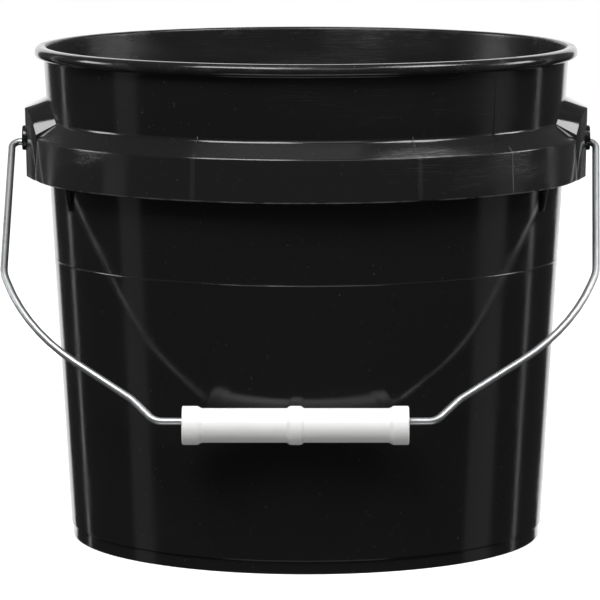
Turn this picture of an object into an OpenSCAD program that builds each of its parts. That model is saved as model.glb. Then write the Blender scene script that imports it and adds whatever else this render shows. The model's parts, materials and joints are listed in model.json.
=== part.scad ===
/* [Pail] */
// Height from the foot to the top of the rim
pail_h = 275; // [270:1:285]
// Outside radius of the foot
foot_r = 131; // [130:0.1:131.4]
// Height of the foot band, up to the step in the wall
foot_h = 7; // [5:0.5:9]
// Outside radius of the wall, carried down to the level of the foot
wall_r0 = 131.6; // [131.2:0.1:132.2]
// Outward lean of the wall, as radius gained for each mm of height
wall_lean = 0.058; // [0.055:0.001:0.06]
// Thickness of the wall
wall_t = 2.4; // [1.8:0.1:2.8]
// Outside radius of the neck, at its root on the collar
neck_r = 144; // [143.6:0.1:144.4]
// Thickness of the neck
neck_t = 1.7; // [1.4:0.1:1.9]

/* [Floor] */
// Height of the underside of the floor above the foot
floor_z = 4; // [3:0.5:5]
// Thickness of the floor
floor_t = 2.4; // [2:0.1:3]
// Radius of the inside corner between floor and wall
corner_r = 3; // [2:0.5:4]
// Number of stiffening ribs under the floor
floor_ribs = 12; // [6:1:18]

/* [Rim] */
// Outside radius of the rim bead, which a lid snaps over
rim_r = 151; // [150:0.1:152]
// Height of the rim bead
rim_h = 6.5; // [6:0.5:8]
// Radius of the rim bead's outer edges
rim_edge_r = 1.6; // [1:0.1:2]

/* [Collar] */
// Height at which the sloping shoulder meets the neck
shoulder_z = 233.8; // [232:0.1:235]
// Height of the shoulder's outer edge
edge_z = 225; // [224:0.1:226]
// Radius of the shoulder's outer edge
edge_r = 152.3; // [151.5:0.1:153]
// Height of the collar's lower edge
skirt_z = 202; // [200:0.5:204]
// Outside radius of the collar's lower edge
skirt_r = 153.3; // [152.5:0.1:154]
// Thickness of the collar
collar_t = 2; // [1.6:0.1:2.2]
// Angle between the webs inside the collar
web_pitch = 23.2; // [20:0.1:24]
// Thickness of each web
web_t = 1.8; // [1.2:0.1:2.4]

/* [Ears] */
// Distance of an ear's outer face from the pail's axis
ear_x = 156.3; // [156:0.1:157]
// Half the width of an ear's outer face
ear_half = 17; // [15:0.5:19]
// Height of an ear's top above the root of the shoulder
ear_rise = 12.2; // [11:0.1:13]
// Height of the centre of the boss round the bail hole
boss_z = 222.9; // [222:0.1:223.4]
// Radius of the boss
boss_r = 7; // [6.6:0.1:7.5]
// How far the boss stands out from the ear
boss_out = 2.2; // [1.5:0.1:2.4]

/* [Bail] */
// Diameter of the bail wire
wire_d = 4; // [3.6:0.1:4]
// Gap all round the wire in its holes
wire_gap = 0.08; // [0.05:0.01:0.1]
// Height of the bail's pivot
pivot_z = 220.6; // [220:0.1:222]
// Distance from the pivot to the straight run that holds the grip
bail_len = 199.6; // [199:0.1:201]
// Angle at which the bail hangs, forward of straight down
rest_angle = 47.5; // [47.5:0.1:50]
// Distance that the bail has slid along its pivot to one side
bail_slip = 1.1; // [0:0.1:1.2]
// Distance that the bent arms carry the grip to the same side
bail_set = 4.9; // [0:0.1:6]

/* [Grip] */
// Length of the grip
grip_len = 120.3; // [110:0.1:124]
// Diameter of the grip's barrel
grip_d = 18.3; // [17:0.1:19]
// Diameter of the grip's end collars and middle ring
grip_ring_d = 20.7; // [19.5:0.1:20.7]
// Radius of the loose bore that the wire runs through
grip_bore_r = 4.3; // [4.3:0.1:5]
// How far the grip hangs below the wire in that bore
grip_hang = 2.2; // [0:0.1:2.2]
// Length of each end collar
grip_end = 8.3; // [7:0.1:10]
// Length of the slope between a collar and the barrel
grip_slope = 2.2; // [1.5:0.1:3]
// Width of the middle ring
grip_mid = 6.6; // [5:0.1:9]

/* [Hidden] */
pail_black = "#17181a";
wire_zinc = "#aeb2b5";
grip_white = "#f1f1ee";
fine = 240;
round_fn = 64;
bite = 1;

// The wall
foot_step = 0.6;
foot_edge = 0.6;
foot_in_r = foot_r - 2.6;
floor_top = floor_z + floor_t;
lip_z = floor_top + corner_r;
plate_r = wall_r(lip_z) - wall_t - corner_r;
bend_z = edge_z + bite;
neck_top_z = pail_h - rim_h;
neck_top_r = neck_r + wall_lean * (neck_top_z - shoulder_z);
rim_in_r = neck_top_r + wall_lean * rim_h - neck_t;

// The floor's ribs
floor_rib_z = 1.2;
floor_rib_t = 1.8;
hub_r = 22;
ring_r = 84;

// The ears: corners of one ear's block, and of the hollow inside it
ear_t = 2.2;
ear_top_z = shoulder_z + ear_rise;
ear_slope = 0.416;
ear_lead = 142.3;
ear_shell = [
    [ear_lead - 3, 25.5, ear_top_z + 3 * ear_slope],
    [ear_x + 0.3, ear_half, ear_top_z - (ear_x - ear_lead) * ear_slope],
    [149.5, 33, edge_z + 2],
    [137.2, 44, shoulder_z + 0.6],
    [ear_x - 0.4, ear_half, skirt_z],
    [150, 32, skirt_z],
    [134, 40, skirt_z]
];
ear_hollow = [
    [ear_lead - 3, 23, ear_top_z + 3 * ear_slope - 2.5],
    [ear_x - ear_t, ear_half - 1.3, ear_top_z - (ear_x - ear_lead) * ear_slope - 2],
    [147.6, 30.6, edge_z],
    [137.2, 40, shoulder_z - 2],
    [ear_x - ear_t - 0.4, ear_half - 1.3, skirt_z - bite],
    [148, 29.8, skirt_z - bite],
    [134, 37, skirt_z - bite]
];
boss_in_x = 153;
boss_in_r = 5.5;
mouth_x = ear_x - 0.4;
hole_r = wire_d / 2 + wire_gap;
front_webs = [web_pitch, 2 * web_pitch];
ear_web = 64.3;
ear_web_drop = 14.5;

// The bail: half width, distance below the pivot and bend radius of each corner
wire_sides = 16;
bend_step = 9;
head_x = 149.1;
head_r = 3.4;
head_t = 2;
corners = [
    [163, 0, 4.5],
    [161.3, 96.5, 25],
    [146.7, 136.8, 125],
    [87, 184.8, 18],
    [74.5, bail_len, 9]
];
left_arm = [for (c = corners) bail_point(-c.x, c.y, c.z)];
right_arm = [for (i = [len(corners) - 1 : -1 : 0]) bail_point(corners[i].x, corners[i].y, corners[i].z)];
route = concat([bail_point(-head_x, 0, 0)], left_arm, right_arm, [bail_point(head_x, 0, 0)]);
grip_x = -bail_slip - bail_set + 0.2;

function wall_r(z) = wall_r0 + wall_lean * z;
function bail_point(x, drop, r) = [x - bail_slip - bail_set * drop / bail_len, -drop, r];
function flat(p) = [p.x, p.y];
function unit(v) = v / norm(v);
function turn_at(a, b, c) = acos(unit(flat(b) - flat(a)) * unit(flat(c) - flat(b)));
function reach(a, b, c) = b.z * tan(turn_at(a, b, c) / 2);
function heading(v) = atan2(v.y, v.x);
function arc(x, z, r, from, to, steps = 6) =
    [for (i = [0 : steps]) let (t = from + (to - from) * i / steps) [x + r * cos(t), z + r * sin(t)]];

// Stations along the wire's bend at corner b, on the way from a to c
function bend(a, b, c) =
    let (
        u = unit(flat(b) - flat(a)),
        w = unit(flat(c) - flat(b)),
        way = sign(u.x * w.y - u.y * w.x),
        centre = flat(b) - u * reach(a, b, c) + way * b.z * [-u.y, u.x],
        turn = turn_at(a, b, c),
        steps = ceil(turn / bend_step)
    )
    [for (i = [0 : steps]) let (h = heading(u) + way * turn * i / steps)
        [centre.x + way * b.z * sin(h), centre.y - way * b.z * cos(h), h, wire_d / 2]];

// Outline of the wall's outside, from the foot up to the rim
function outside() = concat(
    [[foot_r - foot_edge, 0], [foot_r, foot_edge], [foot_r, foot_h]],
    [[wall_r(foot_h + foot_step), foot_h + foot_step]],
    [[wall_r(bend_z), bend_z], [neck_r, shoulder_z], [neck_top_r, neck_top_z]]
);

module spin() {
    rotate_extrude($fn = fine) children();
}

// Everything inside the wall's outer surface
module pail_volume() {
    spin() polygon(concat([[0, -bite], [foot_r, -bite]], outside(), [[0, neck_top_z]]));
}

// Tapered side wall with its foot, its rim bead and its inside corner on the floor
module pail_wall() {
    bead = concat(
        arc(rim_r - rim_edge_r, neck_top_z + rim_edge_r, rim_edge_r, -90, 0),
        arc(rim_r - rim_edge_r, pail_h - rim_edge_r, rim_edge_r, 0, 90),
        arc(rim_in_r + 1, pail_h - 1, 1, 90, 180)
    );
    inside = [
        [neck_top_r - neck_t, neck_top_z],
        [neck_r - neck_t, shoulder_z],
        [wall_r(bend_z) - wall_t, bend_z]
    ];
    corner = arc(plate_r, lip_z, corner_r, 0, -90);
    foot = [[plate_r, floor_z], [foot_in_r, floor_z], [foot_in_r, 0]];
    color(pail_black) spin() polygon(concat(outside(), bead, inside, corner, foot));
}

// Floor plate, and the ribs under it
module pail_floor() {
    color(pail_black) union() {
        spin() translate([0, floor_z]) square([plate_r, floor_t]);
        for (r = [hub_r, ring_r]) {
            floor_ring(r);
        }
        for (i = [0 : floor_ribs - 1]) {
            rotate([0, 0, 360 * i / floor_ribs])
                translate([hub_r, -floor_rib_t / 2, floor_rib_z])
                    cube([plate_r - hub_r - bite, floor_rib_t, floor_z - floor_rib_z + bite]);
        }
    }
}

module floor_ring(r) {
    spin() translate([r - floor_rib_t / 2, floor_rib_z])
        square([floor_rib_t, floor_z - floor_rib_z + bite]);
}

// Solid block with the given corners, mirrored front to back
module block(points) {
    both = concat(points, [for (p = points) [p.x, -p.y, p.z]]);
    hull() polyhedron(both, [for (i = [0 : len(both) - 3]) [i, i + 1, i + 2]]);
}

module on_both_sides() {
    children();
    mirror([1, 0, 0]) children();
}

// Shoulder and skirt as one solid ring, before it is hollowed
module collar_ring() {
    spin() polygon([
        [foot_r, skirt_z],
        [skirt_r, skirt_z],
        [edge_r + 0.2, edge_z - 2],
        [edge_r - 0.4, edge_z],
        [edge_r - 2, edge_z + 1.9],
        [neck_r, shoulder_z],
        [foot_r, shoulder_z]
    ]);
}

module collar_hollow() {
    spin() polygon([
        [foot_r, skirt_z - bite],
        [skirt_r - collar_t, skirt_z - bite],
        [edge_r - collar_t, edge_z - 2],
        [edge_r - collar_t - 1.6, edge_z - 0.4],
        [neck_r - 1.6, shoulder_z - 1.6],
        [foot_r, shoulder_z - 1.6]
    ]);
}

// Upright web that ties the skirt to the wall, at an angle from the front
module web(angle) {
    rotate([0, 0, angle - 90])
        translate([0, web_t / 2, 0])
            rotate([90, 0, 0])
                linear_extrude(web_t) polygon([
                    [foot_r, skirt_z + 3],
                    [skirt_r - collar_t / 2, skirt_z + 3],
                    [edge_r - collar_t / 2, edge_z - 2],
                    [edge_r - collar_t - 0.8, edge_z],
                    [neck_r - 2, shoulder_z - 1],
                    [foot_r, shoulder_z - 1]
                ]);
}

// Web beside an ear, which runs on down the wall below the skirt
module long_web(angle) {
    low_z = skirt_z - ear_web_drop;
    union() {
        web(angle);
        rotate([0, 0, angle - 90])
            translate([0, web_t / 2, 0])
                rotate([90, 0, 0])
                    linear_extrude(web_t) polygon([
                        [foot_r, low_z],
                        [wall_r(low_z) + 3, low_z],
                        [wall_r(low_z) + 5, low_z + 2.5],
                        [skirt_r - collar_t - 2, skirt_z + 4],
                        [foot_r, skirt_z + 4]
                    ]);
    }
}

// Boss of one ear, inside and outside the ear's wall
module boss() {
    translate([boss_in_x, 0, boss_z]) rotate([0, 90, 0])
        cylinder(h = ear_x - bite - boss_in_x, r = boss_in_r, $fn = round_fn);
    translate([ear_x - bite, 0, boss_z]) rotate([0, 90, 0])
        cylinder(h = boss_out + bite, r = boss_r, $fn = round_fn);
}

// Hole for the bail wire, with a flared mouth
module bail_hole() {
    translate([ear_lead, 0, pivot_z]) rotate([0, 90, 0])
        cylinder(h = ear_x + 4 - ear_lead, r = hole_r, $fn = round_fn);
    translate([mouth_x, 0, pivot_z]) rotate([0, 90, 0])
        cylinder(h = boss_out + 0.4 + bite, r1 = hole_r, r2 = hole_r + 2.6, $fn = round_fn);
}

// Stiffening collar moulded round the pail, with the two hollow bail ears
module ear_collar() {
    color(pail_black) difference() {
        union() {
            difference() {
                union() {
                    collar_ring();
                    on_both_sides() block(ear_shell);
                }
                collar_hollow();
                on_both_sides() block(ear_hollow);
            }
            on_both_sides() boss();
            for (side = [0, 180], way = [-1, 1]) {
                for (a = front_webs) {
                    web(side + way * a);
                }
                long_web(side + way * ear_web);
            }
        }
        pail_volume();
        on_both_sides() bail_hole();
    }
}

// Places children, drawn with X across and Z up from the pivot, in the hanging bail
module hang() {
    translate([0, 0, pivot_z]) rotate([-rest_angle, 0, 0]) children();
}

// Tube through stations of [x, z, heading, radius], all in one upright plane
module tube(stations) {
    sides = wire_sides;
    last = len(stations) - 1;
    points = [
        for (s = stations, i = [0 : sides - 1])
            let (t = 360 * i / sides, across = s[3] * cos(t))
            [s.x - across * sin(s[2]), s[3] * sin(t), s.y + across * cos(s[2])]
    ];
    walls = [
        for (k = [0 : last - 1], i = [0 : sides - 1])
            let (j = (i + 1) % sides)
            [k * sides + i, k * sides + j, (k + 1) * sides + j, (k + 1) * sides + i]
    ];
    near_end = [for (i = [sides - 1 : -1 : 0]) i];
    far_end = [for (i = [0 : sides - 1]) last * sides + i];
    polyhedron(points, concat(walls, [near_end], [far_end]));
}

// Wire bail, bent from one rod, with an upset head inside each ear
module bail_wire() {
    last = len(route) - 1;
    radius = wire_d / 2;
    left = route[0].x;
    right = route[last].x;
    bends = [for (i = [1 : last - 1]) each bend(route[i - 1], route[i], route[i + 1])];
    color(wire_zinc) hang() tube(concat(
        [[left, 0, 180, head_r], [left - head_t, 0, 180, head_r], [left - head_t, 0, 180, radius]],
        bends,
        [[right + head_t, 0, 180, radius], [right + head_t, 0, 180, head_r], [right, 0, 180, head_r]]
    ));
}

// Moulded tube that turns on the straight run of the bail
module handle_grip() {
    half = grip_len / 2;
    barrel = grip_d / 2;
    ring = grip_ring_d / 2;
    mid = grip_mid / 2;
    core = 6.4;
    web_half = 4;
    end_web = 11;
    edge = 0.8;
    outline = [
        [ring, 0], [ring, mid], [barrel, mid + grip_slope / 2],
        [barrel, half - grip_end - grip_slope], [ring, half - grip_end],
        [ring, half - edge], [ring - edge, half],
        [grip_bore_r, half], [grip_bore_r, half - end_web],
        [core, half - end_web], [core, web_half], [grip_bore_r, web_half], [grip_bore_r, 0]
    ];
    color(grip_white) translate([0, 0, -grip_hang]) hang() translate([grip_x, 0, -bail_len]) union() {
        for (way = [0, 1]) {
            mirror([way, 0, 0]) rotate([0, 90, 0])
                rotate_extrude($fn = round_fn) polygon(outline);
        }
    }
}

pail_wall();
pail_floor();
ear_collar();
bail_wire();
handle_grip();
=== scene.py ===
"""Wash bucket: the moulded pail with its collar and ears, the wire bail and the turning grip."""

import json
import math

import bmesh
import bpy
from mathutils import Matrix, Vector


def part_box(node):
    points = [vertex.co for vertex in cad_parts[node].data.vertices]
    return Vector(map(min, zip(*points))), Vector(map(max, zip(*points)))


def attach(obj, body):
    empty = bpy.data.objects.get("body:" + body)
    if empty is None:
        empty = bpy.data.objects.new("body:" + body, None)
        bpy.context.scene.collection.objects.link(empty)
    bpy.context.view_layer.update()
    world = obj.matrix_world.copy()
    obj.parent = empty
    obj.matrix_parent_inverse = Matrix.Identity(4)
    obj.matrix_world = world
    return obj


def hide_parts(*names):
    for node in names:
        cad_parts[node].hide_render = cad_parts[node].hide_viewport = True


bl_info = {
    "name": "Wash Bucket",
    "version": (1, 0, 0),
    "blender": (4, 5, 0),
    "location": "View3D > Sidebar > Bucket",
    "description": "Builds a moulded wash bucket with a wire bail and a turning grip",
    "category": "Object",
}

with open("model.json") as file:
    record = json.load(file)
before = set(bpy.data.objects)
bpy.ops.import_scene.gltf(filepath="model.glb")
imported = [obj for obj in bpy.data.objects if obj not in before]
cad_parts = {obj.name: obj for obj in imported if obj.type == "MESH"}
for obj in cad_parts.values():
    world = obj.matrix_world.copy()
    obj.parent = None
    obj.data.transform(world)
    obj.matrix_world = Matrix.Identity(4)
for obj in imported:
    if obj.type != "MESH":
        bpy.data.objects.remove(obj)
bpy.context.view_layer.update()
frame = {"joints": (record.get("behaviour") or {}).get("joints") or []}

MM = 0.001
PAIL_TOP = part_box("pail_wall")[1]
COLLAR_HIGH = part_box("ear_collar")[1]
GRIP_LOW, GRIP_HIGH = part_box("handle_grip")
JOINTS = {joint["name"]: joint for joint in frame["joints"]}
PIVOT = Vector(JOINTS["bail_swing"]["pos_m"])
GRIP_CENTRE = Vector(JOINTS["grip_spin"]["pos_m"])
SIDES = (-1, 1)


def length(name, description, default):
    """A length property in metres."""
    return bpy.props.FloatProperty(
        name=name, description=description, default=default, min=0.0, precision=4, unit="LENGTH"
    )


def angle(name, description, degrees):
    """An angle property, with its default given in degrees."""
    return bpy.props.FloatProperty(
        name=name, description=description, default=math.radians(degrees), subtype="ANGLE"
    )


def share(name, description, default):
    """A plain number property."""
    return bpy.props.FloatProperty(name=name, description=description, default=default, min=0.0)


def colour(name, description, default):
    """A colour property."""
    return bpy.props.FloatVectorProperty(
        name=name, description=description, default=default, size=3, min=0.0, max=1.0, subtype="COLOR"
    )


class PailSizes(bpy.types.PropertyGroup):
    """Wall, floor and rim of the pail."""

    height: length("Height", "From the foot to the top of the rim", PAIL_TOP.z)
    rim_radius: length("Rim radius", "Outside radius of the rim bead", PAIL_TOP.x)
    rim_height: length("Rim height", "Height of the rim bead", 6.5 * MM)
    foot_radius: length("Foot radius", "Outside radius of the foot band", 131 * MM)
    foot_height: length("Foot height", "Height of the foot band", 7 * MM)
    wall_radius: length("Wall radius", "Outside radius of the wall, carried down to the foot", 131.6 * MM)
    lean: share("Lean", "Radius gained by the wall for each unit of height", 0.058)
    wall: length("Wall thickness", "Thickness of the wall", 2.4 * MM)
    neck_radius: length("Neck radius", "Outside radius of the neck at its root", 144 * MM)
    neck: length("Neck thickness", "Thickness of the neck", 1.7 * MM)
    floor_low: length("Floor underside", "Height of the floor's underside", 4 * MM)
    floor_top: length("Floor top", "Height of the floor's upper face", 6.4 * MM)
    corner: length("Inside corner", "Radius between the floor and the wall", 3 * MM)
    parting: length("Parting line height", "Height of the mould's parting line on the wall", 157 * MM)
    ribs: bpy.props.IntProperty(name="Ribs", description="Radial ribs under the floor", default=12, min=3)


class CollarSizes(bpy.types.PropertyGroup):
    """Stiffening collar round the pail, and the webs inside it."""

    shoulder: length("Shoulder height", "Height at which the shoulder meets the neck", 233.8 * MM)
    edge_height: length("Edge height", "Height of the shoulder's outer edge", 225 * MM)
    edge_radius: length("Edge radius", "Radius of the shoulder's outer edge", 152.3 * MM)
    skirt_low: length("Skirt height", "Height of the skirt's lower edge", 202 * MM)
    skirt_radius: length("Skirt radius", "Outside radius of the skirt's lower edge", 153.3 * MM)
    thickness: length("Thickness", "Thickness of the shoulder and the skirt", 2 * MM)
    web_pitch: angle("Web pitch", "Angle between the webs", 23.2)
    ear_web: angle("Ear web", "Angle of the long webs beside the ears, from the front", 64.3)
    ear_web_drop: length("Ear web drop", "How far a long web runs on below the skirt", 14.5 * MM)
    web: length("Web thickness", "Thickness of each web", 1.8 * MM)
    ends: angle("Ring ends", "Angle from an ear's middle at which the ring runs into the ear", 12.1)


class EarSizes(bpy.types.PropertyGroup):
    """Hollow ears that hold the bail."""

    face: length("Face", "Distance of an ear's outer face from the pail's axis", 156.3 * MM)
    half_width: length("Half width", "Half the width of an ear's outer face", 17 * MM)
    rise: length("Rise", "Height of an ear's top above the root of the shoulder", 12.2 * MM)
    slope: share("Slope", "Fall of an ear's top for each unit outwards", 0.416)
    rounding: length("Rounding", "Radius of an ear's outer edges", 1.9 * MM)
    brow: length("Brow", "Radius of the edges between an ear's top and its sloping flanks", 3 * MM)
    crowning: length("Crowning", "How far the outer face falls back towards its ends", 2.2 * MM)
    boss_height: length("Boss height", "Height of the centre of the boss", 222.9 * MM)
    boss_radius: length("Boss radius", "Radius of the boss round the bail hole", 7 * MM)
    boss_face: length("Boss face", "Distance of the boss's face from the pail's axis", COLLAR_HIGH.x)


class BailSizes(bpy.types.PropertyGroup):
    """Wire bail."""

    wire: length("Wire", "Diameter of the wire", 4 * MM)
    head: length("Head radius", "Radius of the upset heads inside the ears", 3.4 * MM)
    head_place: length("Head place", "Distance of a head's outer side from the bail's middle", 149.1 * MM)
    slip: length("Slip", "How far the bail has slid to one side", 1.1 * MM)
    set: length("Set", "How far the bent arms carry the grip to the same side", 4.9 * MM)
    hang: length("Hang", "How far the grip hangs below the wire in its bore", 2.2 * MM)


class GripSizes(bpy.types.PropertyGroup):
    """Tubular grip on the bail."""

    length: length("Length", "Length of the grip", GRIP_HIGH.x - GRIP_LOW.x)
    ring: length("Ring radius", "Radius of the collars and the middle ring", (GRIP_HIGH.z - GRIP_LOW.z) / 2)
    barrel: length("Barrel radius", "Radius of the barrel", 9.15 * MM)
    bore: length("Bore radius", "Radius of the loose bore", 4.3 * MM)
    collar: length("Collar length", "Length of each end collar", 8.3 * MM)
    slope: length("Slope", "Length of the slope between a collar and the barrel", 2.2 * MM)
    middle: length("Middle ring", "Width of the middle ring", 6.6 * MM)


class Finishes(bpy.types.PropertyGroup):
    """Colours of the materials and the stage."""

    pail: colour("Pail", "Black of the moulded pail", (0.0085, 0.0085, 0.009))
    # This grey also paints the highlights on the skirt's parting and insert lines and on its lower edge.
    scuff_and_highlight: colour("Scuff", "Grey of scuffs and dust on the pail", (0.16, 0.16, 0.16))
    zinc: colour("Zinc", "Colour of the zinc-plated wire", (0.52, 0.53, 0.54))
    grip: colour("Grip", "White of the grip", (0.86, 0.86, 0.85))
    floor: colour("Floor", "Pale colour of the floor", (0.86, 0.86, 0.86))


class WashBucket(bpy.types.PropertyGroup):
    """All sizes and colours of the bucket."""

    pail: bpy.props.PointerProperty(type=PailSizes)
    collar: bpy.props.PointerProperty(type=CollarSizes)
    ears: bpy.props.PointerProperty(type=EarSizes)
    bail: bpy.props.PointerProperty(type=BailSizes)
    grip: bpy.props.PointerProperty(type=GripSizes)
    finishes: bpy.props.PointerProperty(type=Finishes)


# Materials


class Value:
    """A number on its way through a material's nodes. Arithmetic on it adds Math nodes."""

    def __init__(self, wiring, socket):
        self.wiring = wiring
        self.socket = socket

    def join(self, operation, *numbers):
        """The result of one Math node."""
        return self.wiring.node("ShaderNodeMath", {"operation": operation}, dict(enumerate(numbers)))

    def __add__(self, other):
        return self.join("ADD", self, other)

    def __sub__(self, other):
        return self.join("SUBTRACT", self, other)

    def __rsub__(self, other):
        return self.join("SUBTRACT", other, self)

    def __mul__(self, other):
        return self.join("MULTIPLY", self, other)

    __radd__ = __add__
    __rmul__ = __mul__

    def absolute(self):
        """The number without its sign."""
        return self.join("ABSOLUTE", self)

    def between(self, low, high):
        """0 below low, 1 above high and smooth between them."""
        return self.wiring.node(
            "ShaderNodeMapRange",
            {"interpolation_type": "SMOOTHSTEP"},
            {"Value": self, "From Min": low, "From Max": high},
        )


class Wiring:
    """The nodes of one material."""

    def __init__(self, name):
        self.material = bpy.data.materials.new(name)
        self.material.use_nodes = True
        self.tree = self.material.node_tree
        self.tree.nodes.clear()
        self.place = Value(self, self.tree.nodes.new("ShaderNodeTexCoord").outputs["Object"])

    def node(self, kind, settings=None, sockets=None, output=0):
        """Adds a node: its settings first, then its sockets' values or links."""
        made = self.tree.nodes.new(kind)
        for key, setting in (settings or {}).items():
            setattr(made, key, setting)
        for key, given in (sockets or {}).items():
            if isinstance(given, Value):
                self.tree.links.new(given.socket, made.inputs[key])
            else:
                made.inputs[key].default_value = given
        return Value(self, made.outputs[output])

    def axis(self, name):
        """One coordinate of the place on the piece."""
        return self.node("ShaderNodeSeparateXYZ", None, {0: self.place}, name)

    def flat_place(self):
        """The place on the piece, laid flat on the ground."""
        return self.node("ShaderNodeVectorMath", {"operation": "MULTIPLY"}, {0: self.place, 1: (1, 1, 0)})

    def line_at(self, turn, half):
        """1 within half a width of the upright plane at an angle from the front, 0 further off."""
        across = (self.axis("X") * math.cos(turn) + self.axis("Y") * math.sin(turn)).absolute()
        return 1 - across.between(half * 0.6, half * 1.6)

    def noise(self, scale, stretch=(1, 1, 1), detail=3.0, roughness=0.5, seed=(0, 0, 0)):
        """Noise about 0.5, with its pattern pulled along the axes by stretch."""
        mapping = {"Vector": self.place, "Scale": stretch, "Location": seed}
        place = self.node("ShaderNodeMapping", None, mapping)
        return self.node(
            "ShaderNodeTexNoise",
            {"noise_dimensions": "3D"},
            {"Vector": place, "Scale": scale, "Detail": detail, "Roughness": roughness},
            "Fac",
        )

    def specks(self, scale, size, seed=(0, 0, 0)):
        """1 on small round specks, 0 elsewhere. Only some cells of the pattern hold one."""
        place = self.node("ShaderNodeMapping", None, {"Vector": self.place, "Location": seed})
        cells = {"Vector": place, "Scale": scale}
        reach = self.node("ShaderNodeTexVoronoi", None, cells, "Distance")
        pick = self.node("ShaderNodeTexVoronoi", None, cells, "Color")
        chosen = self.node("ShaderNodeSeparateColor", None, {0: pick}, "Red")
        return (1 - reach.between(size * 0.5, size)) * chosen.between(0.72, 0.76)

    def mix(self, first, second, amount):
        """A colour between two colours."""
        return self.node(
            "ShaderNodeMix", {"data_type": "RGBA"}, {0: amount, 6: first, 7: second}, 2
        )

    def bump(self, height, distance, strength=1.0, over=None):
        """A surface normal from a height in units of distance."""
        sockets = {"Height": height, "Distance": distance, "Strength": strength}
        if over is not None:
            sockets["Normal"] = over
        return self.node("ShaderNodeBump", None, sockets)

    def surface(self, sockets):
        """Ends the material in one Principled shader."""
        shader = self.node("ShaderNodeBsdfPrincipled", None, sockets)
        out = self.tree.nodes.new("ShaderNodeOutputMaterial")
        self.tree.links.new(shader.socket, out.inputs["Surface"])
        return self.material


def solid(colour_value):
    """A colour with full alpha."""
    return (*colour_value, 1.0)


# Degrees from the front at which the mould's halves and its inserts left a line on the collar.
FLASH = 46.4
WITNESS = 23.2


def black_polyethylene(finishes):
    """Glossy black moulding: drawn sheen, fine scuffs round it, handling marks and dust.

    Heights and distances from the axis are in metres."""
    w = Wiring("black_polyethylene")
    up = w.axis("Z")
    round_lines = w.noise(60, (1, 1, 60), 4, 0.6)
    patches = w.noise(14, (1, 1, 1.6), 2, 0.5, (0.3, 0.1, 0)).between(0.42, 0.7)
    on_collar = up.between(0.2, 0.206) * (1 - up.between(0.226, 0.232))
    on_neck = up.between(0.236, 0.25)
    reach = w.node("ShaderNodeVectorMath", {"operation": "LENGTH"}, {0: w.flat_place()}, "Value")
    inside = 1 - (reach - up * 0.058).between(0.1293, 0.13)
    rubbed = patches * (0.18 + on_collar * 0.8 + on_neck * 0.3) + inside * (0.2 + patches * 0.6)
    scuffs = round_lines.between(0.55, 0.8) * rubbed
    streaks = w.noise(110, (1, 1, 0.02), 2, 0.5, (0, 0.2, 0))
    worn_rim = up.between(0.268, 0.2745) * w.noise(90, (1, 1, 3), 3, 0.6).between(0.5, 0.75)
    dust = w.specks(110, 0.05) * 0.5 + w.specks(260, 0.09, (0.4, 0.2, 0.7)) * 0.4
    lint = w.noise(420, (1, 1, 1), 2, 0.5, (0.1, 0.6, 0)).between(0.7, 0.78) * 0.3
    on_skirt = on_collar * reach.between(0.149, 0.151)
    # Painted highlight: the mould's parting and insert lines on the skirt are painted lighter grey, standing
    # in for the light their thin ridges catch.
    flash_highlight = w.line_at(math.radians(FLASH), 0.3 * MM) * on_skirt
    witness_turn, witness_half = math.radians(WITNESS), 1.2 * MM
    witness_highlight = (w.line_at(witness_turn, witness_half) + w.line_at(-witness_turn, witness_half)) * on_skirt
    # Painted highlight: the skirt's lower edge is painted lighter grey, broken up by noise.
    skirt_edge = reach.between(0.1515, 0.152) * (1 - up.between(0.2022, 0.2032))
    edge_highlight = skirt_edge * w.noise(90, (1, 1, 1), 3, 0.6, (0.5, 0, 0)).between(0.35, 0.6)
    # The grey is mixed in for real scuffs, rim wear, dust and lint, and for the painted highlights on the
    # skirt's parting and insert lines and its lower edge.
    marks = scuffs * 0.22 + worn_rim * 0.12 + dust * 0.5 + lint * 0.4 + flash_highlight * 0.5 + witness_highlight * 0.05
    marks = marks + edge_highlight * 0.5
    base = w.mix(solid(finishes.pail), solid(finishes.scuff_and_highlight), marks)
    rough = 0.09 + streaks * 0.05 + rubbed * 0.14 + scuffs * 0.2 + worn_rim * 0.1 + dust * 0.3 + inside * 0.1
    wave = w.noise(9, (1, 1, 0.5), 1, 0.4)
    skin = w.noise(420, (1, 1, 1), 2, 0.5)
    normal = w.bump(wave, 0.8 * MM, 0.3)
    normal = w.bump(streaks, 0.05 * MM, 0.5, normal)
    normal = w.bump(round_lines * (0.1 + rubbed), 0.1 * MM, 1.0, normal)
    normal = w.bump(skin + dust * 3, 0.02 * MM, 0.5, normal)
    return w.surface(
        {"Base Color": base, "Roughness": rough, "Normal": normal, "IOR": 1.5, "Specular IOR Level": 0.45}
    )


def zinc_wire(finishes):
    """Bright zinc plate on drawn wire, mottled and slightly dulled."""
    w = Wiring("zinc_wire")
    mottle = w.noise(130, (1, 1, 1), 4, 0.6)
    dull = w.noise(28, (1, 1, 1), 2, 0.5, (0.2, 0, 0)).between(0.45, 0.75)
    grey = (0.28, 0.285, 0.29, 1.0)
    base = w.mix(solid(finishes.zinc), grey, mottle.between(0.5, 0.8) * 0.4 + dull * 0.35)
    rough = 0.34 + mottle * 0.12 + dull * 0.12
    grain = w.noise(700, (1, 1, 1), 2, 0.6)
    normal = w.bump(grain + mottle * 1.5, 0.03 * MM, 0.5)
    return w.surface({"Base Color": base, "Roughness": rough, "Normal": normal, "Metallic": 1.0})


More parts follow.
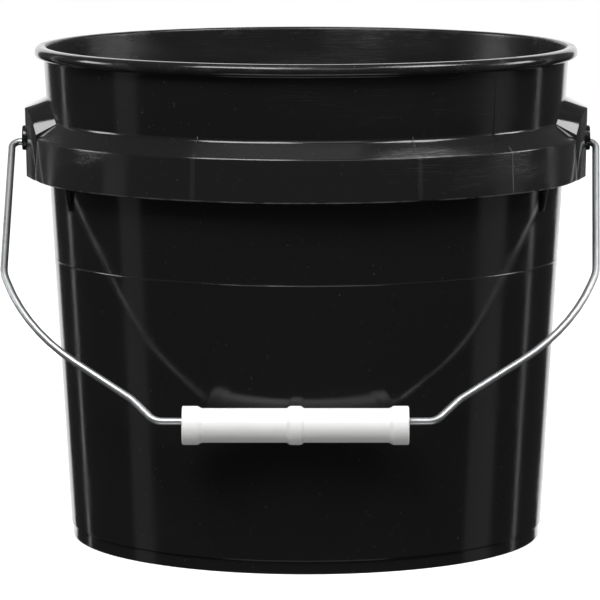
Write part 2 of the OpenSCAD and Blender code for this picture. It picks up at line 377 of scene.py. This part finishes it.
def satin_white(finishes):
    """White moulded grip: satin skin with faint handling marks."""
    w = Wiring("satin_white")
    smudge = w.noise(45, (1, 1, 1), 3, 0.55).between(0.5, 0.8)
    dust = w.specks(160, 0.09)
    base = w.mix(solid(finishes.grip), (0.62, 0.61, 0.58, 1.0), smudge * 0.12 + dust * 0.5)
    rough = 0.34 + smudge * 0.12
    skin = w.noise(520, (1, 1, 1), 2, 0.5)
    normal = w.bump(skin, 0.02 * MM, 0.5)
    return w.surface({"Base Color": base, "Roughness": rough, "Normal": normal})


def pale_floor(finishes):
    """Plain pale floor."""
    w = Wiring("pale_floor")
    tone = w.mix(solid(finishes.floor), (0.8, 0.8, 0.8, 1.0), w.noise(3).between(0.4, 0.9) * 0.2)
    glow = {"Emission Color": (1, 1, 1, 1), "Emission Strength": 0.4}
    return w.surface({"Base Color": tone, "Roughness": 0.9, "Specular IOR Level": 0.1, **glow})


# Shapes


def arc_points(centre, start, turn):
    """Points from start round centre through an angle, a step every 15 degrees or less."""
    steps = max(2, math.ceil(abs(turn) / math.radians(15)))
    spoke = start - centre
    return [centre + Matrix.Rotation(turn * i / steps, 2) @ spoke for i in range(steps + 1)]


def rounded(corners, closed=True, hold=0.6 * MM):
    """Outline through (across, up, radius) corners, each rounded to its radius.

    Long straight stretches get a point near each end, so that their shading stays true."""
    spots = [Vector(corner[:2]) for corner in corners]
    points = []
    for i, (spot, corner) in enumerate(zip(spots, corners)):
        radius = corner[2]
        at_end = not closed and i in (0, len(corners) - 1)
        if radius == 0 or at_end:
            points.append(spot)
            continue
        back = (spots[i - 1] - spot).normalized()
        on = (spots[(i + 1) % len(spots)] - spot).normalized()
        half = back.angle(on) / 2
        start = spot + back * radius / math.tan(half)
        centre = spot + (back + on).normalized() * radius / math.sin(half)
        way = 1 if back.x * on.y - back.y * on.x < 0 else -1
        points += arc_points(centre, start, way * (math.pi - 2 * half))
    held = []
    following = points[1:] + (points[:1] if closed else [])
    for here, there in zip(points, following):
        held.append(here)
        gap = there - here
        if gap.length > 4 * hold:
            held += [here + gap.normalized() * hold, there - gap.normalized() * hold]
    return held if closed else held + [points[-1]]


def spun(points, closed, steps, start=0.0, turn=2 * math.pi):
    """Mesh turned round the upright axis from an outline of (radius, height) points."""
    bm = bmesh.new()
    verts = [bm.verts.new((p.x, 0, p.y)) for p in points]
    edges = [bm.edges.new(pair) for pair in zip(verts, verts[1:])]
    if closed:
        edges.append(bm.edges.new((verts[-1], verts[0])))
    bmesh.ops.rotate(bm, verts=verts, cent=(0, 0, 0), matrix=Matrix.Rotation(start, 3, "Z"))
    whole = math.isclose(turn, 2 * math.pi)
    bmesh.ops.spin(
        bm, geom=verts + edges, cent=(0, 0, 0), axis=(0, 0, 1), angle=turn, steps=steps, use_merge=whole
    )
    bmesh.ops.remove_doubles(bm, verts=bm.verts, dist=0.01 * MM)
    if not whole:
        bmesh.ops.holes_fill(bm, edges=[e for e in bm.edges if e.is_boundary], sides=0)
    bmesh.ops.recalc_face_normals(bm, faces=bm.faces)
    return bm


def bevel(bm, edges, radius, segments=3):
    """Rounds edges."""
    bmesh.ops.bevel(
        bm, geom=edges, offset=radius, offset_type="OFFSET", segments=segments, profile=0.5,
        affect="EDGES", clamp_overlap=True, material=-1,
    )


def merge(bm, other):
    """Adds a finished mesh to bm and frees it."""
    kept = bpy.data.meshes.new("part")
    other.to_mesh(kept)
    other.free()
    bm.from_mesh(kept)
    bpy.data.meshes.remove(kept)


def plate(points, thickness, turn, rounding=0.3 * MM):
    """Upright plate with an outline of (radius, height) points, turned to an angle from the front."""
    bm = bmesh.new()
    face = bm.faces.new([bm.verts.new((r, -thickness / 2, z)) for r, z in points])
    made = bmesh.ops.extrude_face_region(bm, geom=[face])["geom"]
    moved = [part for part in made if isinstance(part, bmesh.types.BMVert)]
    bmesh.ops.translate(bm, verts=moved, vec=(0, thickness, 0))
    bmesh.ops.recalc_face_normals(bm, faces=bm.faces)
    bevel(bm, bm.edges[:], rounding, 2)
    bmesh.ops.rotate(
        bm, verts=bm.verts, cent=(0, 0, 0), matrix=Matrix.Rotation(turn - math.pi / 2, 3, "Z")
    )
    return bm


def piece(name, bm, material, body, slot, *nodes, crease=35):
    """Makes a finished piece that rides on a body and stands for CAD nodes."""
    mesh = bpy.data.meshes.new(name)
    bm.to_mesh(mesh)
    bm.free()
    mesh.materials.append(material)
    mesh.shade_smooth()
    mesh.set_sharp_from_angle(angle=math.radians(crease))
    made = bpy.data.objects.new(name, mesh)
    bpy.context.scene.collection.objects.link(made)
    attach(made, body)
    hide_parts(*nodes)
    return made


def material(name, maker):
    """A material made once and then shared."""
    return bpy.data.materials.get(name) or maker(bpy.context.scene.wash_bucket.finishes)


# The pail


SPIN_STEPS = 288
FOOT_WALL = 2.6 * MM
FOOT_STEP = 0.6 * MM
RIB = 1.8 * MM
RIB_LOW = 1.2 * MM
RIB_RINGS = (22 * MM, 84 * MM)
PARTING_RIDGE = 0.16 * MM
GATE = 3.5 * MM


def wall_at(pail, height):
    """Outside radius of the wall at a height."""
    return pail.wall_radius + pail.lean * height


def rib_ring(radius, top):
    """Corners of a ring-shaped rib under the floor."""
    half = RIB / 2
    return [
        (radius - half - 0.1 * MM, top, 0.5 * MM),
        (radius - half, RIB_LOW, 0.5 * MM),
        (radius + half, RIB_LOW, 0.5 * MM),
        (radius + half + 0.1 * MM, top, 0.5 * MM),
    ]


def pail_corners(pail, collar):
    """Corners of the pail's section, from the middle of the underside round to the middle inside."""
    foot_in = pail.foot_radius - FOOT_WALL
    step = pail.foot_height + FOOT_STEP
    neck_top = pail.height - pail.rim_height
    neck_out = pail.neck_radius + pail.lean * (neck_top - collar.shoulder)
    rim_in = neck_out + pail.lean * pail.rim_height - pail.neck
    behind = collar.edge_height + 1 * MM
    ridge = 0.3 * MM
    under = [(0, pail.floor_low - 0.4 * MM, 0), (GATE, pail.floor_low - 0.4 * MM, 0.2 * MM)]
    under += [(GATE + 0.4 * MM, pail.floor_low, 0.3 * MM)]
    for radius in RIB_RINGS:
        under += rib_ring(radius, pail.floor_low)
    foot = [
        (foot_in, pail.floor_low, 1.2 * MM),
        (foot_in, 0, 0.5 * MM),
        (pail.foot_radius, 0, 0.7 * MM),
        (pail.foot_radius, pail.foot_height, 0.25 * MM),
        (wall_at(pail, step), step, 0.3 * MM),
    ]
    wall = [
        (wall_at(pail, pail.parting - ridge), pail.parting - ridge, 0),
        (wall_at(pail, pail.parting) + PARTING_RIDGE, pail.parting, 0),
        (wall_at(pail, pail.parting + ridge), pail.parting + ridge, 0),
        (wall_at(pail, behind), behind, 2 * MM),
        (pail.neck_radius, collar.shoulder, 2 * MM),
    ]
    rim = [
        (neck_out, neck_top, 0.9 * MM),
        (pail.rim_radius, neck_top, 2.4 * MM),
        (pail.rim_radius, pail.height, 3.3 * MM),
        (rim_in, pail.height, 1.6 * MM),
    ]
    inside = [
        (neck_out - pail.neck, neck_top - 1 * MM, 6 * MM),
        (pail.neck_radius - pail.neck, collar.shoulder, 8 * MM),
        (wall_at(pail, behind) - pail.wall, behind, 8 * MM),
        (wall_at(pail, pail.floor_top) - pail.wall, pail.floor_top, pail.corner),
        (GATE + 0.6 * MM, pail.floor_top, 0.3 * MM),
        (GATE, pail.floor_top + 0.25 * MM, 0.2 * MM),
        (0, pail.floor_top + 0.25 * MM, 0),
    ]
    return under + foot + wall + rim + inside


def radial_ribs(bm, pail):
    """Radial ribs under the floor, between the inner ring and the foot."""
    low, high = RIB_LOW, pail.floor_low + 0.5 * MM
    inner, outer = RIB_RINGS[0], pail.foot_radius - FOOT_WALL + 0.5 * MM
    for i in range(pail.ribs):
        turn = 2 * math.pi * i / pail.ribs + math.pi / 2
        merge(bm, plate([(inner, low), (outer, low), (outer, high), (inner, high)], RIB, turn))


def build_pail(sizes):
    """Wall, floor, foot and rim in one turned shell, with the ribs under the floor."""
    bm = spun(rounded(pail_corners(sizes.pail, sizes.collar), closed=False), False, SPIN_STEPS)
    radial_ribs(bm, sizes.pail)
    black = material("black_polyethylene", black_polyethylene)
    piece("pail_shell", bm, black, "pail", "pail", "pail_wall", "pail_floor")


# The collar and its ears


NECK_FILLET = 3.2 * MM
# Degrees from the front, height of the ridge and whether it runs on up the neck.
SKIRT_LINES = (
    (FLASH, 0.32 * MM, True),
    (WITNESS, 0.16 * MM, False),
    (-WITNESS, 0.16 * MM, False),
    (-FLASH, 0.07 * MM, False),
    (157, 0.09 * MM, False),
    (203, 0.09 * MM, False),
    (226.4, 0.2 * MM, True),
)


def collar_corners(pail, collar):
    """Corners of the collar's section: shoulder, skirt and the fillet at the neck."""
    edge, low, skirt, t = collar.edge_radius, collar.skirt_low, collar.skirt_radius, collar.thickness
    sunk = 0.02 * MM
    neck_up = collar.shoulder + 6 * MM
    neck = pail.neck_radius + pail.lean * (neck_up - collar.shoulder) - sunk
    return [
        (pail.neck_radius - 1 * MM, neck_up, 0),
        (neck, neck_up, 0),
        (pail.neck_radius - sunk, collar.shoulder, NECK_FILLET),
        (edge, collar.edge_height, 1.7 * MM),
        (skirt, low, 0.7 * MM),
        (skirt - t, low, 0.6 * MM),
        (edge - t, collar.edge_height - 1.4 * MM, 1.2 * MM),
        (pail.neck_radius - 0.6 * MM, collar.shoulder - 3.4 * MM, 0.8 * MM),
        (pail.neck_radius - 1 * MM, collar.shoulder - 5 * MM, 0),
    ]


def web_outline(pail, collar):
    """Outline of a web inside the collar."""
    inner = pail.neck_radius - 1.5 * MM
    skirt, edge, half = collar.skirt_radius, collar.edge_radius, collar.thickness / 2
    return [
        (inner, collar.skirt_low + 3 * MM),
        (skirt - half, collar.skirt_low + 3 * MM),
        (edge - half, collar.edge_height - 2 * MM),
        (pail.neck_radius, collar.shoulder - 1 * MM),
        (inner, collar.shoulder - 1 * MM),
    ]


def long_web_outline(pail, collar):
    """Outline of the part of a web beside an ear that runs on below the skirt."""
    low = collar.skirt_low - collar.ear_web_drop
    root = wall_at(pail, low) - 1 * MM
    return [
        (root, low),
        (root + 2.2 * MM, low),
        (root + 3.2 * MM, low + 3 * MM),
        (root + 5.5 * MM, collar.skirt_low + 4 * MM),
        (root, collar.skirt_low + 4 * MM),
    ]


def add_line(bm, pail, collar, degrees, height, over_neck):
    """Thin ridge at an angle from the front: up the skirt, over the shoulder and, if asked, up the neck."""
    sag = 0.8 * height
    lean = 2.4 if over_neck else 0.3
    route = [
        (degrees, collar.skirt_radius, collar.skirt_low + 0.6 * MM),
        (degrees, collar.edge_radius + 0.1 * MM, collar.edge_height - 1.5 * MM),
        (degrees - 0.1 * lean, collar.edge_radius - 1.3 * MM, collar.edge_height + 0.9 * MM),
        (degrees - lean, pail.neck_radius + 1.7 * MM, collar.shoulder - 1.4 * MM),
        (degrees - lean, pail.neck_radius + 0.3 * MM, collar.shoulder + 2 * MM),
    ]
    if over_neck:
        route.append((degrees - lean, pail.neck_radius + pail.lean * 33 * MM, collar.shoulder + 33 * MM))
    spots = []
    for place, radius, up in route:
        turn = math.radians(place - 90)
        reach = radius - sag
        spots.append(Vector((reach * math.cos(turn), reach * math.sin(turn), up)))
    ridge = bmesh.new()
    end = start_rod(ridge, spots[0], spots[1] - spots[0], height, 6)
    for here, there in zip(spots, spots[1:]):
        end = push(ridge, end, there - here)
    bmesh.ops.recalc_face_normals(ridge, faces=ridge.faces)
    merge(bm, ridge)


def build_collar(sizes):
    """Shoulder and skirt in two turned arcs between the ears, with the webs inside them."""
    pail, collar = sizes.pail, sizes.collar
    section = rounded(collar_corners(pail, collar))
    turn = math.pi - 2 * collar.ends
    bm = spun(section, True, SPIN_STEPS // 2, -math.pi + collar.ends, turn)
    merge(bm, spun(section, True, SPIN_STEPS // 2, collar.ends, turn))
    webs = (collar.web_pitch, 2 * collar.web_pitch, collar.ear_web)
    for side in (0, math.pi):
        for way in SIDES:
            for web in webs:
                merge(bm, plate(web_outline(pail, collar), collar.web, side + way * web))
            turn = side + way * collar.ear_web
            merge(bm, plate(long_web_outline(pail, collar), 2 * collar.web, turn, 1.1 * MM))
    for degrees, height, over_neck in SKIRT_LINES:
        add_line(bm, pail, collar, degrees, height, over_neck)
    black = material("black_polyethylene", black_polyethylene)
    piece("stiffening_collar", bm, black, "pail", "pail", "ear_collar")


def ear_points(collar, ears):
    """Corners of half an ear's block, from its top down, with the other half its mirror image."""
    top = collar.shoulder + ears.rise
    lead = ears.face - 14 * MM
    back = lead - 2 * MM
    low = collar.skirt_low
    crown = ears.half_width * 0.45
    side = ears.face - ears.crowning
    return [
        (back, 25.5 * MM, top + (lead - back) * ears.slope),
        (ears.face + 0.3 * MM, crown, top - (ears.face - lead) * ears.slope),
        (side, ears.half_width, top - 7.1 * MM),
        (151.5 * MM, 27 * MM, collar.edge_height + 9.9 * MM),
        (138.8 * MM, 40.4 * MM, collar.shoulder + 4.6 * MM),
        (149.0 * MM, 33.1 * MM, collar.edge_height + 2.4 * MM),
        (137.2 * MM, 44 * MM, collar.shoulder + 0.6 * MM),
        (ears.face - 0.4 * MM, crown, low),
        (side - 0.4 * MM, ears.half_width, low),
        (150 * MM, 32 * MM, low),
        (134 * MM, 40 * MM, low),
    ]


def ear_hollow(collar, ears):
    """Corners of half the hollow inside an ear, each set in from the block's along X, Y and Z."""
    inset = [
        (0, 2.5, 2.5), (2.3, 1, 2), (2.4, 1.3, 2), (2.2, 2, 2), (0, 2.6, 2.6), (1.9, 2.4, 2), (0, 4, 2.6),
        (2.2, 1, 0), (2.2, 1.3, 0), (2, 2.2, 0), (0, 3, 0),
    ]
    return [
        (x - dx * MM, y - dy * MM, z - dz * MM)
        for (x, y, z), (dx, dy, dz) in zip(ear_points(collar, ears), inset)
    ]


def open_block(points):
    """Convex block through points and their mirror images front to back, open underneath."""
    bm = bmesh.new()
    for x, y, z in points:
        for way in SIDES:
            bm.verts.new((x, way * y, z))
    bmesh.ops.convex_hull(bm, input=bm.verts)
    bmesh.ops.dissolve_limit(bm, angle_limit=math.radians(10), verts=bm.verts, edges=bm.edges)
    bmesh.ops.recalc_face_normals(bm, faces=bm.faces)
    bmesh.ops.delete(bm, geom=[f for f in bm.faces if f.normal.z < -0.9], context="FACES")
    return bm


def middle_of(edge):
    """Middle of an edge."""
    return (edge.verts[0].co + edge.verts[1].co) / 2


def round_ear(bm, collar, ears):
    """Rounds an ear's top edges widely and its upright edges closely, as far as there is room."""
    buried = 141 * MM
    inside_skirt = 30 * MM
    least_turn = math.radians(11)
    shown = [e for e in bm.edges if not e.is_boundary and middle_of(e).x > buried]
    brow = [
        e for e in shown
        if abs(middle_of(e).y) > ears.half_width and all(f.normal.z > 0.2 for f in e.link_faces)
    ]
    bevel(bm, brow, ears.brow, 8)
    shown = [
        e for e in bm.edges
        if not e.is_boundary and middle_of(e).x > buried and e.calc_face_angle(0) > least_turn
        and (abs(middle_of(e).y) < inside_skirt or middle_of(e).z > collar.edge_height + 1 * MM)
    ]
    bevel(bm, shown, ears.rounding, 4)


def fit_to_wall(bm, radius):
    """Bends the back of a block round the pail, so that it ends inside the wall's thickness."""
    step = 4 * MM
    for i in range(-11, 12):
        bmesh.ops.bisect_plane(
            bm, geom=bm.verts[:] + bm.edges[:] + bm.faces[:], plane_co=(0, i * step, 0), plane_no=(0, 1, 0)
        )
    for vert in bm.verts:
        reach = math.hypot(vert.co.x, vert.co.y)
        if reach < radius:
            vert.co.x *= radius / reach
            vert.co.y *= radius / reach


def ear_block(pail, collar, ears):
    """Hollow block of the ear on the +X side, open underneath."""
    bm = open_block(ear_points(collar, ears))
    round_ear(bm, collar, ears)
    inner = open_block(ear_hollow(collar, ears))
    merge(bm, inner)
    rims = [e for e in bm.edges if e.is_boundary]
    bmesh.ops.bridge_loops(bm, edges=rims)
    bmesh.ops.recalc_face_normals(bm, faces=bm.faces)
    fit_to_wall(bm, pail.neck_radius - pail.neck / 2)
    return bm


def circle(bm, x, centre_z, radius, sides=64):
    """Edges of an upright circle that faces along X."""
    across = Matrix.Translation((x, 0, centre_z)) @ Matrix.Rotation(math.pi / 2, 4, "Y")
    made = bmesh.ops.create_circle(bm, cap_ends=False, segments=sides, radius=radius, matrix=across)
    return list({edge for vert in made["verts"] for edge in vert.link_edges})


def ear_boss(ears, bail):
    """Boss through an ear's wall, with a rounded face and a flared hole for the wire."""
    bm = bmesh.new()
    face, radius, high = ears.boss_face, ears.boss_radius, ears.boss_height
    hole = bail.wire / 2 + 0.08 * MM
    inner = ears.face - 3.3 * MM
    round_edge = 0.7 * MM
    rings = [
        (inner, high, 5.5 * MM),
        (ears.face - 1 * MM, high, 5.5 * MM),
        (ears.face - 0.9 * MM, high, radius),
        (face - round_edge, high, radius),
        (face - 0.2 * MM, high, radius - 0.2 * MM),
        (face, high, radius - round_edge),
        (face, PIVOT.z + 0.1 * MM, hole + 2.5 * MM),
        (face - 0.3 * MM, PIVOT.z, hole + 2.1 * MM),
        (face - 2.4 * MM, PIVOT.z, hole),
        (inner, PIVOT.z, hole),
    ]
    loops = [circle(bm, *ring) for ring in rings]
    for here, there in zip(loops, loops[1:] + loops[:1]):
        bmesh.ops.bridge_loops(bm, edges=here + there)
    bmesh.ops.recalc_face_normals(bm, faces=bm.faces)
    return bm


def mirrored(bm):
    """Adds the mirror image across the YZ plane."""
    bmesh.ops.mirror(bm, geom=bm.verts[:] + bm.edges[:] + bm.faces[:], axis="X", merge_dist=0)
    bmesh.ops.recalc_face_normals(bm, faces=bm.faces)
    return bm


def build_ears(sizes):
    """Both hollow ears, with their bosses."""
    black = material("black_polyethylene", black_polyethylene)
    blocks = mirrored(ear_block(sizes.pail, sizes.collar, sizes.ears))
    piece("bail_ears", blocks, black, "pail", "pail", "ear_collar", crease=28)
    bosses = mirrored(ear_boss(sizes.ears, sizes.bail))
    piece("ear_bosses", bosses, black, "pail", "pail", "ear_collar", crease=50)


# The bail


WIRE_SIDES = 28


def start_rod(bm, spot, heading, radius, sides):
    """First face of a rod that will run along heading."""
    face_on = heading.to_track_quat("Z", "Y").to_matrix().to_4x4()
    made = bmesh.ops.create_circle(
        bm, cap_ends=True, segments=sides, radius=radius, matrix=Matrix.Translation(spot) @ face_on
    )
    return made["verts"][0].link_faces[0]


def push(bm, face, way, grow=1.0):
    """Extrudes the rod's last face by a vector and scales it."""
    made = bmesh.ops.extrude_face_region(bm, geom=[face])["geom"]
    verts = [part for part in made if isinstance(part, bmesh.types.BMVert)]
    bmesh.ops.translate(bm, verts=verts, vec=way)
    middle = sum((v.co for v in verts), Vector()) / len(verts)
    bmesh.ops.scale(bm, verts=verts, vec=(grow,) * 3, space=Matrix.Translation(-middle))
    return next(part for part in made if isinstance(part, bmesh.types.BMFace))


def turn_rod(bm, face, centre, axis, turn):
    """Bends the rod round a centre."""
    steps = max(2, math.ceil(turn / math.radians(5)))
    geom = [face, *face.edges, *face.verts]
    made = bmesh.ops.spin(
        bm, geom=geom, cent=centre, axis=axis, angle=turn, steps=steps, use_merge=False, use_duplicate=False
    )
    return next(part for part in made["geom_last"] if isinstance(part, bmesh.types.BMFace))


def bail_route(bail, drop):
    """Corners of the bail from head to head, as (place, bend radius), hanging straight down."""
    arm = [
        (163 * MM, 0, 4.5 * MM),
        (161.3 * MM, 96.5 * MM, 25 * MM),
        (146.7 * MM, 136.8 * MM, 125 * MM),
        (87 * MM, 184.8 * MM, 18 * MM),
        (74.5 * MM, drop, 9 * MM),
    ]
    left = [(-x, down, radius) for x, down, radius in arm]
    corners = [(-bail.head_place, 0, 0), *left, *arm[::-1], (bail.head_place, 0, 0)]
    return [
        (Vector((x - bail.slip - bail.set * down / drop, 0, -down)), radius) for x, down, radius in corners
    ]


def bent_rod(bm, route, radius):
    """Rod of a radius bent along a route, with its first and last faces left for the heads."""
    spots = [spot for spot, _ in route]
    heading = (spots[1] - spots[0]).normalized()
    face = first = start_rod(bm, spots[0], heading, radius, WIRE_SIDES)
    here = spots[0]
    for before, (spot, bend), after in zip(spots, route[1:-1], spots[2:]):
        arriving, leaving = (spot - before).normalized(), (after - spot).normalized()
        turn = arriving.angle(leaving)
        reach = bend * math.tan(turn / 2)
        start = spot - arriving * reach
        face = push(bm, face, start - here)
        axis = arriving.cross(leaving).normalized()
        face = turn_rod(bm, face, start + axis.cross(arriving) * bend, axis, turn)
        here = spot + leaving * reach
    return first, push(bm, face, spots[-1] - here)


def head(bm, face, way, grow):
    """Upset head on the end of the rod."""
    thick = 2 * MM
    face = push(bm, face, way * 0.1 * MM, grow * 0.86)
    face = push(bm, face, way * 0.4 * MM, 1 / 0.86)
    face = push(bm, face, way * (thick - 1 * MM))
    face = push(bm, face, way * 0.4 * MM, 0.9)
    push(bm, face, way * 0.1 * MM, 0.6)


def build_bail(sizes):
    """Wire bent along its route, with an upset head inside each ear."""
    bail = sizes.bail
    reach = Vector((0, GRIP_CENTRE.y, GRIP_CENTRE.z + bail.hang)) - Vector((0, 0, PIVOT.z))
    tilt = math.atan2(-reach.y, -reach.z)
    bm = bmesh.new()
    first, last = bent_rod(bm, bail_route(bail, reach.length), bail.wire / 2)
    grow = bail.head / (bail.wire / 2)
    head(bm, last, Vector((-1, 0, 0)), grow)
    head(bm, first, Vector((1, 0, 0)), grow)
    bmesh.ops.rotate(bm, verts=bm.verts, cent=(0, 0, 0), matrix=Matrix.Rotation(-tilt, 3, "X"))
    bmesh.ops.translate(bm, verts=bm.verts, vec=(0, 0, PIVOT.z))
    bmesh.ops.recalc_face_normals(bm, faces=bm.faces)
    piece("bail_rod", bm, material("zinc_wire", zinc_wire), "bail", "wire", "bail_wire", crease=50)


# The grip


GRIP_STEPS = 128


def grip_corners(grip):
    """Corners of the grip's section, as (radius, place along the grip)."""
    half, ring, barrel, bore = grip.length / 2, grip.ring, grip.barrel, grip.bore
    middle, flank = grip.middle / 2, 1.1 * MM
    outside = [
        (ring, -half, 0.9 * MM),
        (ring, -half + grip.collar, 0.9 * MM),
        (barrel, -half + grip.collar + grip.slope, 0.9 * MM),
        (barrel, -middle - flank, 1 * MM),
        (ring, -middle, 2.4 * MM),
    ]
    end = [(r, -along, radius) for r, along, radius in outside[::-1]]
    hollow, end_web, middle_web = 6.4 * MM, 11 * MM, 4 * MM
    inside = [
        (bore, half, 0.5 * MM),
        (bore, half - end_web, 0.3 * MM),
        (hollow, half - end_web, 0.3 * MM),
        (hollow, middle_web, 0.3 * MM),
        (bore, middle_web, 0.3 * MM),
    ]
    back = [(r, -along, radius) for r, along, radius in inside[::-1]]
    return outside + end + inside + back


def build_grip(sizes):
    """Grip turned round the straight run of the wire, with its moulding seam."""
    bm = spun(rounded(grip_corners(sizes.grip), hold=0.4 * MM), True, GRIP_STEPS)
    seam = 0.06 * MM
    for vert in bm.verts:
        reach = math.hypot(vert.co.x, vert.co.y)
        if abs(vert.co.y) < 0.01 * MM and reach > sizes.grip.barrel - 1 * MM:
            vert.co.x += math.copysign(seam, vert.co.x)
    lying = Matrix.Rotation(math.pi / 2, 3, "Y") @ Matrix.Rotation(math.radians(70), 3, "Z")
    bmesh.ops.rotate(bm, verts=bm.verts, cent=(0, 0, 0), matrix=lying)
    bmesh.ops.translate(bm, verts=bm.verts, vec=GRIP_CENTRE)
    piece("grip_tube", bm, material("satin_white", satin_white), "grip", "grip", "handle_grip")


# The stage


FLOOR_RADIUS = 2.6
LIGHTS_AIM = (0, 0, 0.2)
# Name, place, width and height, radiance. The ones below the floor, which doesn't shade them, are the
# light that a pale floor throws back.
LIGHTS = (
    ("front_left", (-0.78, -1.25, 1.88), (1.35, 0.85), 12),
    ("front_right", (1.3, -0.69, 1.88), (0.95, 0.85), 12),
    ("front_fill", (0.1, -2.0, 1.75), (1.8, 1.0), 1.8),
    ("floor_bounce", (0, -0.95, -1.2), (1.8, 1.0), 1.2),
    ("overhead", (-0.2, -0.25, 2.3), (1.6, 0.8), 0.5),
    ("ear_left", (-2.07, 0.35, 0.69), (0.6, 0.5), 9),
    ("ear_right", (2.07, 0.35, 0.69), (0.6, 0.5), 9),
    ("side_left", (-2.0, -0.23, -0.2), (0.45, 1.6), 0.2),
    ("side_right", (2.0, 0, -0.2), (0.6, 1.6), 0.2),
    ("backdrop", (0, 2.7, 0.5), (2.6, 2.8), 1.2),
    ("strip_left", (-1.44, 1.23, 0.1), (0.04, 1.8), 1.8),
    ("strip_right", (1.65, 0.95, 0.1), (0.04, 1.8), 1.8),
)


def softbox(name, place, aim, size, radiance):
    """Rectangular light of an even radiance, aimed at a point."""
    light = bpy.data.lights.new(name, "AREA")
    light.shape = "RECTANGLE"
    light.size, light.size_y = size
    light.energy = radiance * math.pi * size[0] * size[1]
    made = bpy.data.objects.new(name, light)
    made.location = place
    made.rotation_euler = (Vector(place) - Vector(aim)).to_track_quat("Z", "Y").to_euler()
    made.visible_camera = False
    bpy.context.scene.collection.objects.link(made)


def build_world():
    """White to the camera, and to everything else a dim grey that is lighter above the floor's horizon."""
    world = bpy.data.worlds.new("studio")
    world.use_nodes = True
    tree = world.node_tree
    tree.nodes.clear()
    white = tree.nodes.new("ShaderNodeBackground")
    white.inputs["Strength"].default_value = 1.0
    white.inputs["Color"].default_value = (1, 1, 1, 1)
    dim = tree.nodes.new("ShaderNodeBackground")
    dim.inputs["Color"].default_value = (1, 1, 1, 1)
    heading = tree.nodes.new("ShaderNodeTexCoord")
    height = tree.nodes.new("ShaderNodeSeparateXYZ")
    tree.links.new(heading.outputs["Generated"], height.inputs[0])
    glow = tree.nodes.new("ShaderNodeMapRange")
    glow.interpolation_type = "SMOOTHSTEP"
    glow.inputs["From Min"].default_value = -0.16
    glow.inputs["From Max"].default_value = -0.02
    glow.inputs["To Min"].default_value = 0.03
    glow.inputs["To Max"].default_value = 0.12
    tree.links.new(height.outputs["Z"], glow.inputs["Value"])
    tree.links.new(glow.outputs["Result"], dim.inputs["Strength"])
    seen = tree.nodes.new("ShaderNodeLightPath")
    choose = tree.nodes.new("ShaderNodeMixShader")
    out = tree.nodes.new("ShaderNodeOutputWorld")
    tree.links.new(seen.outputs["Is Camera Ray"], choose.inputs[0])
    tree.links.new(dim.outputs[0], choose.inputs[1])
    tree.links.new(white.outputs[0], choose.inputs[2])
    tree.links.new(choose.outputs[0], out.inputs["Surface"])
    bpy.context.scene.world = world


def build_stage(sizes):
    """Camera, pale floor, softboxes and world."""
    scene = bpy.context.scene
    lens = bpy.data.cameras.new("camera")
    lens.lens = 263
    lens.sensor_width = 36
    lens.clip_end = 100
    camera = bpy.data.objects.new("camera", lens)
    camera.location = (-3.4 * MM, -2440.8 * MM, 450.2 * MM)
    camera.rotation_euler = (math.radians(90 - 7.443), 0, 0)
    scene.collection.objects.link(camera)
    scene.camera = camera
    bm = bmesh.new()
    bmesh.ops.create_circle(bm, cap_ends=True, segments=64, radius=FLOOR_RADIUS)
    mesh = bpy.data.meshes.new("floor")
    bm.to_mesh(mesh)
    bm.free()
    mesh.materials.append(pale_floor(sizes.finishes))
    floor = bpy.data.objects.new("floor", mesh)
    floor.visible_glossy = False
    floor.visible_diffuse = False
    floor.visible_shadow = False
    scene.collection.objects.link(floor)
    for name, place, size, radiance in LIGHTS:
        softbox(name, place, LIGHTS_AIM, size, radiance)
    build_world()
    scene.view_settings.view_transform = "Standard"


def operator(idname, label, note, build):
    """An operator class that runs one build function."""
    def execute(self, context):
        build(context.scene.wash_bucket)
        return {"FINISHED"}

    fields = {"__doc__": note, "bl_idname": idname, "bl_label": label, "execute": execute}
    return type("BUCKET_OT_" + idname.split(".")[1], (bpy.types.Operator,), fields)


BUCKET_OT_stage = operator("bucket.stage", "Stage", "Adds the camera, the floor and the lights", build_stage)
BUCKET_OT_pail = operator("bucket.pail", "Pail", "Builds the wall, the floor and the rim", build_pail)
BUCKET_OT_collar = operator("bucket.collar", "Collar", "Builds the collar and its webs", build_collar)
BUCKET_OT_ears = operator("bucket.ears", "Ears", "Builds the bail ears and their bosses", build_ears)
BUCKET_OT_bail = operator("bucket.bail", "Bail", "Bends the wire bail", build_bail)
BUCKET_OT_grip = operator("bucket.grip", "Grip", "Builds the grip", build_grip)


class BUCKET_PT_panel(bpy.types.Panel):
    """Lists the steps that build the bucket."""

    bl_idname = "BUCKET_PT_panel"
    bl_label = "Wash Bucket"
    bl_space_type = "VIEW_3D"
    bl_region_type = "UI"
    bl_category = "Bucket"

    def draw(self, context):
        """One button for each step."""
        for step in STEPS:
            self.layout.operator(step.bl_idname)


STEPS = (BUCKET_OT_stage, BUCKET_OT_pail, BUCKET_OT_collar, BUCKET_OT_ears, BUCKET_OT_bail, BUCKET_OT_grip)
GROUPS = (PailSizes, CollarSizes, EarSizes, BailSizes, GripSizes, Finishes, WashBucket)
CLASSES = (*GROUPS, *STEPS, BUCKET_PT_panel)


def register():
    """Adds the classes and the sizes to Blender."""
    for made in CLASSES:
        bpy.utils.register_class(made)
    bpy.types.Scene.wash_bucket = bpy.props.PointerProperty(type=WashBucket)


def unregister():
    """Takes them out again."""
    del bpy.types.Scene.wash_bucket
    for made in reversed(CLASSES):
        bpy.utils.unregister_class(made)


def main():
    """Builds the bucket and writes the size of the CAD and of the visual model."""
    register()
    for step in STEPS:
        getattr(bpy.ops.bucket, step.bl_idname.split(".")[1])()


if __name__ == "__main__":
    main()
